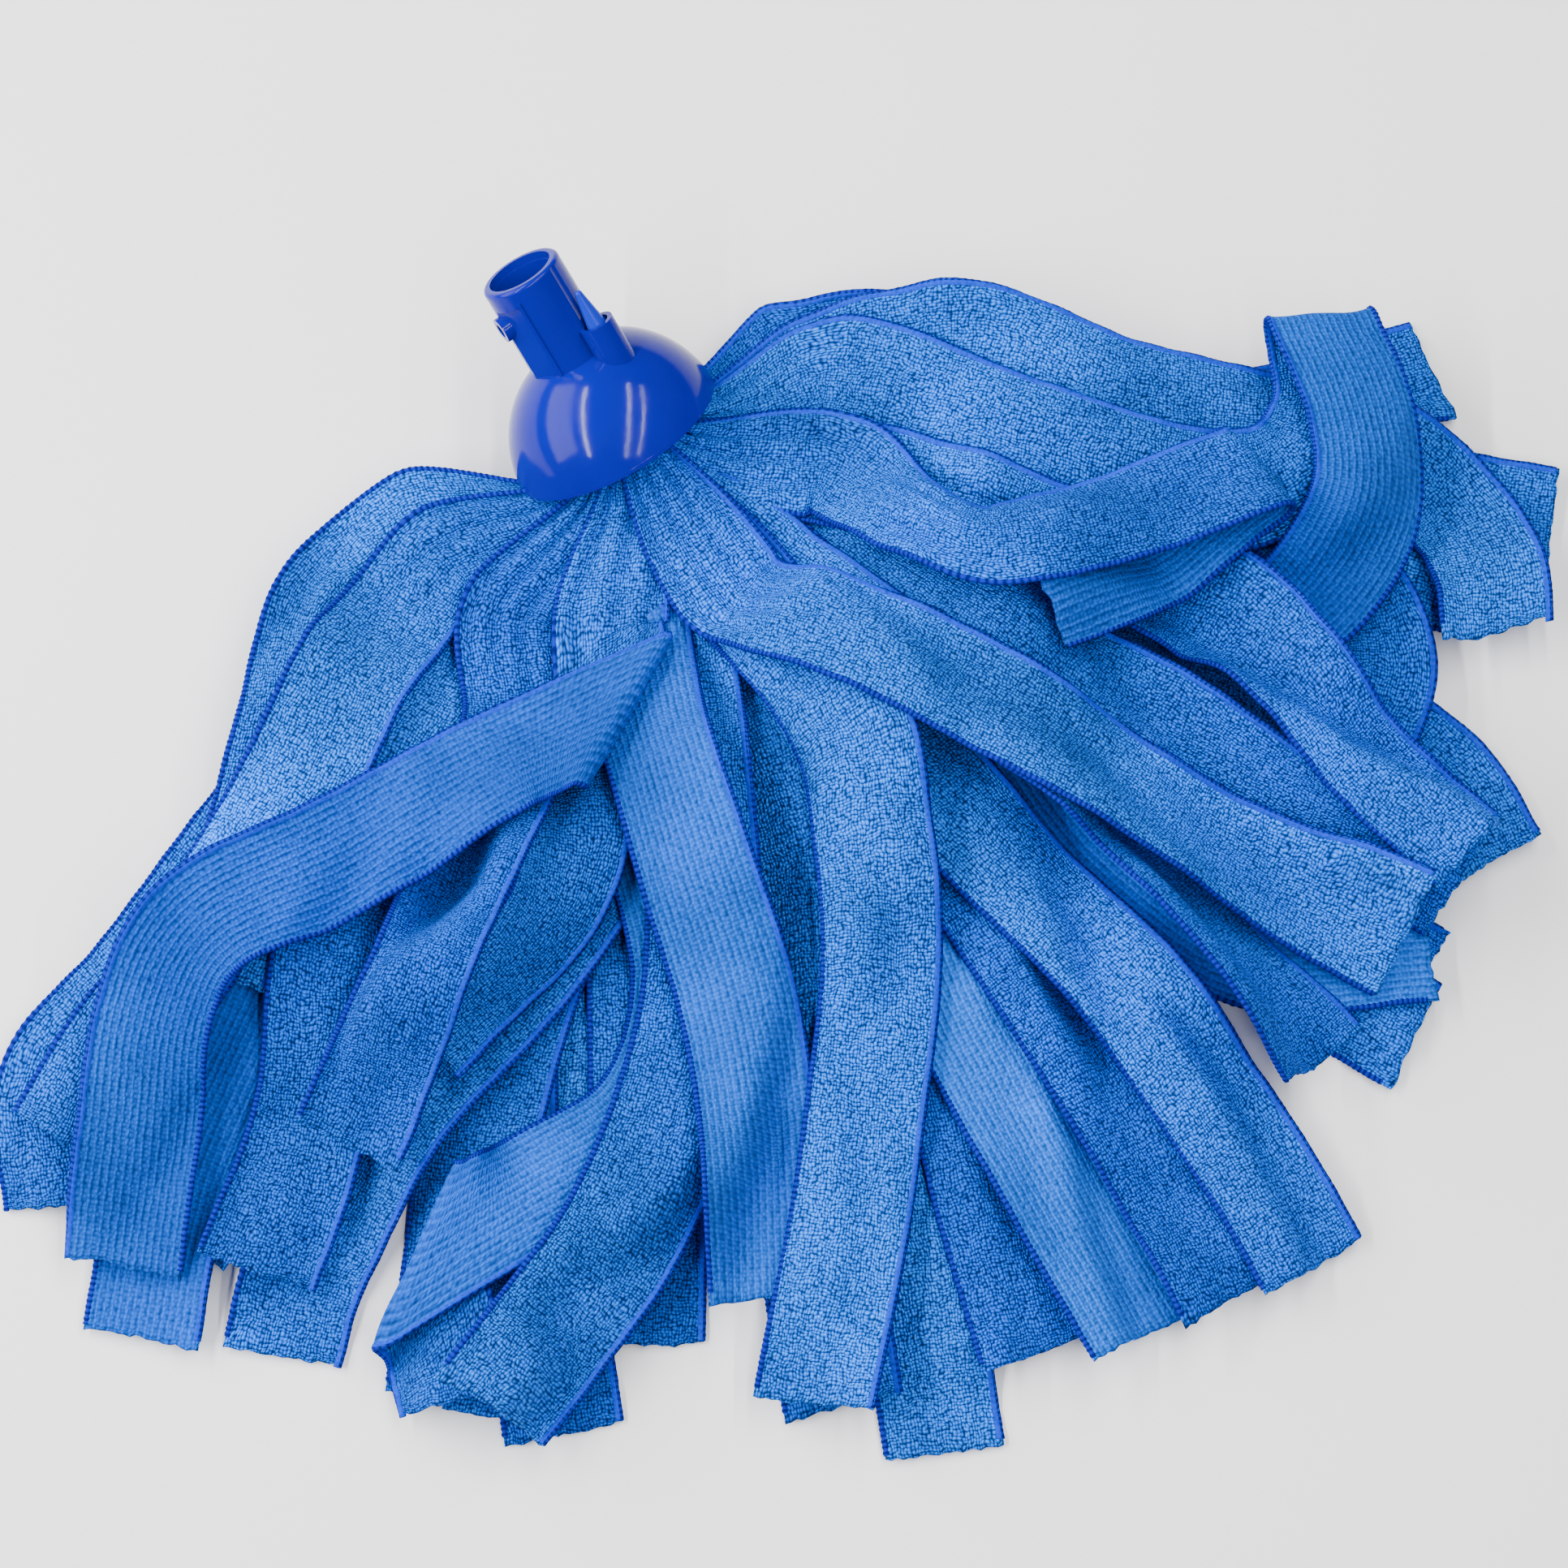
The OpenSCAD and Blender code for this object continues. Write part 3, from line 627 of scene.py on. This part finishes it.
class Nodes:
    """A short way to write a node tree."""

    def __init__(self, name):
        self.material = bpy.data.materials.new(name)
        self.material.use_nodes = True
        self.tree = self.material.node_tree
        self.shader = self.tree.nodes["Principled BSDF"]

    def set(self, **values):
        for key, value in values.items():
            self.shader.inputs[key.replace("_", " ")].default_value = value

    def add(self, kind, inputs=None, **settings):
        node = self.tree.nodes.new(kind)
        for key, value in settings.items():
            setattr(node, key, value)
        for key, value in (inputs or {}).items():
            socket = node.inputs[key]
            if isinstance(value, bpy.types.NodeSocket):
                self.tree.links.new(value, socket)
            else:
                socket.default_value = value
        return node

    def math(self, operation, a, b):
        return self.add("ShaderNodeMath", {0: a, 1: b}, operation=operation).outputs[0]

    def ramp(self, value, stops):
        node = self.add("ShaderNodeValToRGB", {"Fac": value})
        while len(node.color_ramp.elements) < len(stops):
            node.color_ramp.elements.new(0.5)
        for element, (place, color) in zip(node.color_ramp.elements, stops):
            element.position = place
            element.color = (*color, 1)
        return node.outputs["Color"]

    def greys(self, value, stops):
        return self.ramp(value, [(place, (level,) * 3) for place, level in stops])

    def tones(self, value, color, stops):
        """Shades of one colour, each at its place on the ramp."""
        return self.ramp(value, [(place, shade(color, factor)) for place, factor in stops])

    def noise(self, where, scale, detail=2.0):
        node = self.add("ShaderNodeTexNoise", {"Vector": where, "Scale": scale, "Detail": detail})
        return node.outputs["Fac"]

    def cells(self, where, randomness):
        """The distance from the middle of the nearest cell of a grid."""
        node = self.add("ShaderNodeTexVoronoi", {"Vector": where, "Scale": 1.0, "Randomness": randomness})
        return node.outputs["Distance"]

    def waves(self, where, axis, **shape):
        """Parallel bands, one to a unit of length along that axis."""
        inputs = {key.replace("_", " "): value for key, value in shape.items()}
        node = self.add("ShaderNodeTexWave", {"Vector": where, "Scale": WAVE_UNIT, **inputs},
                        wave_type="BANDS", bands_direction=axis)
        return node.outputs["Fac"]

    def mix(self, kind, factor, a, b):
        node = self.add("ShaderNodeMix", data_type="RGBA", blend_type=kind)
        for index, value in ((0, factor), (6, a), (7, b)):
            if isinstance(value, bpy.types.NodeSocket):
                self.tree.links.new(value, node.inputs[index])
            elif index == 0:
                node.inputs[0].default_value = value
            else:
                node.inputs[index].default_value = (*value, 1)
        return node.outputs[2]

    def cloth_coords(self, scale):
        uv = self.add("ShaderNodeUVMap", uv_map="cloth").outputs["UV"]
        return self.add("ShaderNodeMapping", {"Vector": uv, "Scale": scale}).outputs["Vector"]

    def place(self):
        return self.add("ShaderNodeTexCoord").outputs["Object"]

    def color(self, socket):
        self.tree.links.new(socket, self.shader.inputs["Base Color"])

    def roughness(self, socket):
        self.tree.links.new(socket, self.shader.inputs["Roughness"])

    def bump(self, height, strength, distance):
        node = self.add("ShaderNodeBump", {"Height": height, "Strength": strength, "Distance": distance})
        self.tree.links.new(node.outputs["Normal"], self.shader.inputs["Normal"])


def shade(color, factor):
    return tuple(min(1.0, c * factor) for c in color)


def uneven(n, color, low, high):
    """Uneven fading of the dye over the pile, and from one strip to the next."""
    broad = n.noise(n.place(), 14.0, 3.0)
    color = n.mix("MULTIPLY", 1.0, color, n.greys(broad, [(0.3, low), (0.7, high)]))
    strip = n.noise(n.cloth_coords((3.0, 3.0, 1)), 1.0)
    tint = n.ramp(strip, [(0.38, (0.5, 0.68, 0.8)), (0.62, (1.7, 1.3, 1.15))])
    return n.mix("MULTIPLY", 1.0, color, tint)


def terry_material(look):
    """Looped microfibre: a close grid of round nubs, painted darker in the gaps between them as shade and
    lighter on their tops as highlight.
    """
    n = Nodes("terry_microfibre")
    grid = n.cloth_coords((1 / (look.nub_mm * MM), 1 / (look.nub_mm * 0.85 * MM), 1))
    pull = n.add("ShaderNodeTexNoise", {"Vector": grid, "Scale": 0.16, "Detail": 2.0}).outputs["Color"]
    pull = n.add("ShaderNodeVectorMath", {0: pull, 1: (3.0, 3.0, 0.0)}, operation="MULTIPLY").outputs[0]
    grid = n.add("ShaderNodeVectorMath", {0: grid, 1: pull}, operation="ADD").outputs[0]
    fuzz = n.math("SUBTRACT", n.noise(grid, 2.4, 3.0), 0.5)
    height = n.math("SUBTRACT", 1.15, n.math("MULTIPLY", n.cells(grid, 0.42), 1.5))
    height = n.math("ADD", height, n.math("MULTIPLY", fuzz, 0.55))
    # Painted shade and highlight: the colour follows the nubs' height, darkest in the gaps and brightest on
    # the tops
    painted_shade_and_highlight = n.tones(height, tuple(look.terry_color), [(0.16, 0.13), (0.42, 0.6), (0.66, 1.15), (0.95, 2.1)])
    n.color(uneven(n, painted_shade_and_highlight, 0.62, 1.4))
    n.bump(height, 0.9, 0.0009)
    n.set(Roughness=0.95, Sheen_Weight=0.12, Sheen_Roughness=0.5, Sheen_Tint=SHEEN_TINT,
          Specular_IOR_Level=0.05)
    return n.material


def rib_material(look):
    """Knitted back: fine ribs along the strip, with small stitches on each rib, painted darker in the
    grooves as shade and lighter on top as highlight.
    """
    n = Nodes("ribbed_microfibre")
    ribs = n.cloth_coords((220.0, 1 / (look.rib_mm * MM), 1))
    bands = n.waves(ribs, "Y", Distortion=0.7, Detail=1.0, Detail_Scale=1.5)
    stitch = n.cloth_coords((1 / (1.5 * MM), 1 / (look.rib_mm * 0.5 * MM), 1))
    knots = n.math("SUBTRACT", 1.0, n.cells(stitch, 0.5))
    height = n.math("ADD", n.math("MULTIPLY", bands, 0.34), n.math("MULTIPLY", knots, 0.85))
    height = n.math("ADD", height, n.math("MULTIPLY", n.noise(stitch, 1.4, 3.0), 0.35))
    # Painted shade and highlight: the colour follows the ribs' height, darker in the grooves and brighter
    # on the tops
    painted_shade_and_highlight = n.tones(n.math("MULTIPLY", height, 0.66), tuple(look.rib_color),
                   [(0.2, 0.3), (0.5, 0.9), (0.85, 1.6)])
    n.color(uneven(n, painted_shade_and_highlight, 0.66, 1.35))
    n.bump(height, 0.9, 0.0010)
    n.set(Roughness=0.95, Sheen_Weight=0.1, Sheen_Roughness=0.5, Sheen_Tint=SHEEN_TINT,
          Specular_IOR_Level=0.05)
    return n.material


def thread_material(name, color, look, contrast):
    """Overlock thread: tight wraps across the hem, painted darker between the wraps as shade and lighter on
    them as highlight.
    """
    n = Nodes(name)
    wraps = n.cloth_coords((1 / (look.stitch_mm * MM), 900.0, 1))
    bands = n.waves(wraps, "X", Distortion=1.2, Detail=2.0)
    height = n.math("ADD", n.math("MULTIPLY", bands, contrast), n.noise(n.place(), 900.0))
    # Painted shade and highlight: the colour follows the wraps' height and a random fleck, darker between
    # wraps and brighter on them
    n.color(n.tones(n.math("MULTIPLY", height, 0.8), color,
                    [(0.25, 0.6), (0.5, 1), (0.95, 1 + 2 * contrast)]))
    n.bump(height, 0.5, 0.0004)
    n.set(Roughness=0.75, Specular_IOR_Level=0.04)
    return n.material


def moulded_material(name, color, roughness, mottling):
    """Moulded polypropylene: slight flow marks and handling scuffs under a gloss."""
    n = Nodes(name)
    flow = n.noise(n.place(), 38.0, 4.0)
    grain = n.noise(n.place(), 650.0, 3.0)
    scuff = n.noise(n.place(), 60.0, 3.0)
    n.color(n.tones(flow, color, [(0.3, 1 - mottling), (0.7, 1 + mottling)]))
    n.roughness(n.greys(scuff, [(0.45, roughness), (0.75, roughness + 0.07)]))
    n.bump(n.math("ADD", grain, n.math("MULTIPLY", flow, 0.6)), 0.06, 0.0004)
    n.set(IOR=1.24)
    return n.material


def steel_material():
    """Bright zinc plate, turned."""
    n = Nodes("zinc_plated_steel")
    streak = n.noise(n.place(), 700.0, 5.0)
    n.color(n.ramp(streak, [(0.3, (0.52, 0.54, 0.57)), (0.7, (0.78, 0.79, 0.8))]))
    n.roughness(n.greys(streak, [(0.3, 0.25), (0.7, 0.42)]))
    n.set(Metallic=1.0)
    return n.material


# ---------------------------------------------------------------- settings

class ClothSettings(bpy.types.PropertyGroup):
    pleat_mm: FloatProperty(name="Pleat depth", description="Depth of the pleats at the mouth in mm",
                            default=1.7)
    band_w_mm: FloatProperty(name="Smooth hem width", description="Width of the smooth hem in mm",
                             default=3.0)
    stitches_w_mm: FloatProperty(name="Stitched hem width",
                                 description="Width of the overlocked hem in mm", default=2.0)
    hem_t_mm: FloatProperty(name="Hem thickness", description="Thickness of both hems in mm",
                            default=1.9)
    stitch_mm: FloatProperty(name="Stitch pitch", description="Distance between stitches in mm",
                             default=2.0)
    nub_mm: FloatProperty(name="Nub pitch", description="Distance between the terry's nubs in mm",
                          default=1.3)
    rib_mm: FloatProperty(name="Rib pitch", description="Distance between the knit's ribs in mm",
                          default=2.5)
    terry_color: FloatVectorProperty(name="Terry colour", description="Colour of the looped face",
                                     subtype="COLOR", default=(0.0035, 0.120, 0.76))
    rib_color: FloatVectorProperty(name="Rib colour", description="Colour of the ribbed face",
                                   subtype="COLOR", default=(0.0035, 0.090, 0.54))
    bright_hem: FloatVectorProperty(name="Bright hem", description="Colour of the smooth hem",
                                    subtype="COLOR", default=(0.002, 0.045, 0.56))
    dark_hem: FloatVectorProperty(name="Dark hem", description="Colour of the stitched hem and rims",
                                  subtype="COLOR", default=(0.001, 0.006, 0.13))


class SocketSettings(bpy.types.PropertyGroup):
    body_color: FloatVectorProperty(name="Socket colour", description="Colour of the moulded socket",
                                    subtype="COLOR", default=(0.0012, 0.0018, 0.24))
    peg_color: FloatVectorProperty(name="Peg colour", description="Colour of the locking peg",
                                   subtype="COLOR", default=(0.004, 0.02, 0.42))
    inner_color: FloatVectorProperty(name="Inner colour", description="Colour of the retaining disc",
                                     subtype="COLOR", default=(0.003, 0.006, 0.34))
    gloss: FloatProperty(name="Roughness", description="Roughness of the socket's gloss", default=0.12)


class StageSettings(bpy.types.PropertyGroup):
    elevation: FloatProperty(name="Camera elevation", description="Angle of the camera above the floor",
                             default=math.radians(75), subtype="ANGLE")
    distance: FloatProperty(name="Camera distance", description="Distance of the camera", default=1.5,
                            unit="LENGTH")
    frame_width: FloatProperty(name="Frame width", description="Width of the floor that the camera sees",
                               default=0.545, unit="LENGTH")
    key_power: FloatProperty(name="Key light", description="Power of the key light in watts", default=28.0)


# ---------------------------------------------------------------- operators

# Half the floor's side, where the camera looks, and the light from all round
FLOOR_HALF = 3.0
LOOK_AT = (-0.002, 0.0276, 0.0)
WORLD_LIGHT = 0.09

# The soft boxes over the mop: place, width and share of the key light's power
BOX_LENGTH = 2.0
BOXES = (
    ("light_left", (-0.9, 0.1, 1.25), 0.03, 1.25),
    ("light_middle", (0.2, 0.1, 1.25), 0.05, 0.6),
    ("light_right", (0.55, 0.1, 1.25), 0.035, 0.5),
    ("light_low", (-1.4, 0.3, 0.75), 0.8, 1.5),
)


def give(node, material):
    """Give a piece of the CAD model its only material."""
    obj = frame["nodes"][node]
    obj.data.materials.clear()
    obj.data.materials.append(material)


class MOP_OT_stage(bpy.types.Operator):
    """Make the floor, the lights and the camera"""

    bl_idname = "mop.stage"
    bl_label = "Stage"

    def execute(self, context):
        look = context.scene.mop_stage
        self.floor()
        self.world(context.scene)
        for name, place, width, share in BOXES:
            self.box(context.scene, name, place, width, share * look.key_power)
        self.camera(context.scene, look)
        return {"FINISHED"}

    def floor(self):
        n = Nodes("pale_floor")
        noise = n.noise(n.place(), 3.0)
        n.color(n.ramp(noise, [(0.2, (0.86, 0.86, 0.87)), (0.8, (0.9, 0.9, 0.9))]))
        n.set(Roughness=0.6)
        corners = [(-1, -1), (1, -1), (1, 1), (-1, 1)]
        verts = [(FLOOR_HALF * x, FLOOR_HALF * y, 0) for x, y in corners]
        mesh_object("floor", verts, [(0, 1, 2, 3)], [n.material])

    def world(self, scene):
        scene.world = scene.world or bpy.data.worlds.new("studio")
        scene.world.use_nodes = True
        background = scene.world.node_tree.nodes["Background"]
        background.inputs["Color"].default_value = (0.95, 0.97, 1.0, 1)
        background.inputs["Strength"].default_value = WORLD_LIGHT

    def box(self, scene, name, place, width, power):
        """A long soft box over the mop, its length along the camera's view."""
        data = bpy.data.lights.new(name, "AREA")
        data.shape = "RECTANGLE"
        data.size, data.size_y = width, BOX_LENGTH
        data.energy = power
        light = bpy.data.objects.new(name, data)
        light.location = place
        light.rotation_euler = (0, math.atan2(place[0], place[2]), 0)
        scene.collection.objects.link(light)

    def camera(self, scene, look):
        data = bpy.data.cameras.new("camera")
        data.lens = data.sensor_width * look.distance / look.frame_width
        camera = bpy.data.objects.new("camera", data)
        away = Vector((0, -math.cos(look.elevation), math.sin(look.elevation)))
        camera.location = Vector(LOOK_AT) + away * look.distance
        camera.rotation_euler = (-away).to_track_quat("-Z", "Y").to_euler()
        scene.collection.objects.link(camera)
        scene.camera = camera


class MOP_OT_socket(bpy.types.Operator):
    """Give the socket, the peg and the pieces inside the dome their finishes"""

    bl_idname = "mop.socket"
    bl_label = "Socket"

    def execute(self, context):
        look = context.scene.mop_socket
        give("socket_cap", moulded_material("socket_plastic", tuple(look.body_color), look.gloss, 0.08))
        give("locking_peg", moulded_material("peg_plastic", tuple(look.peg_color), look.gloss + 0.12, 0.05))
        give("retaining_disc", moulded_material("inner_plastic", tuple(look.inner_color), 0.5, 0.05))
        steel = steel_material()
        give("clamp_washer", steel)
        give("clamp_screw", steel)
        return {"FINISHED"}


class MOP_OT_binding(bpy.types.Operator):
    """Give the tape round the roots a woven finish, painted darker on the low cells of the weave as shade
    """

    bl_idname = "mop.binding"
    bl_label = "Binding band"

    def execute(self, context):
        n = Nodes("woven_tape")
        weave = n.add("ShaderNodeTexChecker", {"Vector": n.place(), "Scale": 900.0}).outputs["Fac"]
        height = n.math("ADD", weave, n.math("MULTIPLY", n.noise(n.place(), 1200.0), 0.5))
        # Painted shade: the colour follows the weave's height and a random fleck, darker on its low cells
        n.color(n.ramp(height, [(0.1, (0.01, 0.04, 0.3)), (0.9, (0.03, 0.12, 0.55))]))
        n.bump(height, 0.5, 0.0003)
        n.set(Roughness=0.8)
        give("binding_band", n.material)
        return {"FINISHED"}


class MOP_OT_strips(bpy.types.Operator):
    """Lay the microfibre strips, each a cut of cloth with two overlocked hems"""

    bl_idname = "mop.strips"
    bl_label = "Strips"

    def execute(self, context):
        look = context.scene.mop_cloth
        cloth = [terry_material(look), rib_material(look)]
        threads = [thread_material("bright_thread", tuple(look.bright_hem), look, 0.1),
                   thread_material("dark_thread", tuple(look.dark_hem), look, 0.9)]
        pile = Pile()
        for number in range(len(STRIPS)):
            shape = StripShape(pile, number, look.pleat_mm)
            sheet = cloth_object(shape, cloth)
            hem = hem_object(shape, look, threads)
            for piece in (sheet, hem):
                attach(piece, "mop_head")
            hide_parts(shape.name)
        return {"FINISHED"}


class MOP_PT_panel(bpy.types.Panel):
    """The mop head's pieces"""

    bl_label = "Strip mop head"
    bl_idname = "MOP_PT_panel"
    bl_space_type = "VIEW_3D"
    bl_region_type = "UI"
    bl_category = "Mop"

    def draw(self, context):
        for group in (context.scene.mop_cloth, context.scene.mop_socket, context.scene.mop_stage):
            box = self.layout.box()
            for key in group.__annotations__:
                box.prop(group, key)
        for operator in (MOP_OT_stage, MOP_OT_socket, MOP_OT_binding, MOP_OT_strips):
            self.layout.operator(operator.bl_idname)


CLASSES = (ClothSettings, SocketSettings, StageSettings, MOP_OT_stage, MOP_OT_socket, MOP_OT_binding,
           MOP_OT_strips, MOP_PT_panel)


def register():
    for cls in CLASSES:
        bpy.utils.register_class(cls)
    bpy.types.Scene.mop_cloth = PointerProperty(type=ClothSettings)
    bpy.types.Scene.mop_socket = PointerProperty(type=SocketSettings)
    bpy.types.Scene.mop_stage = PointerProperty(type=StageSettings)


def unregister():
    for name in ("mop_cloth", "mop_socket", "mop_stage"):
        delattr(bpy.types.Scene, name)
    for cls in reversed(CLASSES):
        bpy.utils.unregister_class(cls)


def main():
    register()
    bpy.ops.mop.stage()
    bpy.ops.mop.socket()
    bpy.ops.mop.binding()
    bpy.ops.mop.strips()


if __name__ == "__main__":
    main()
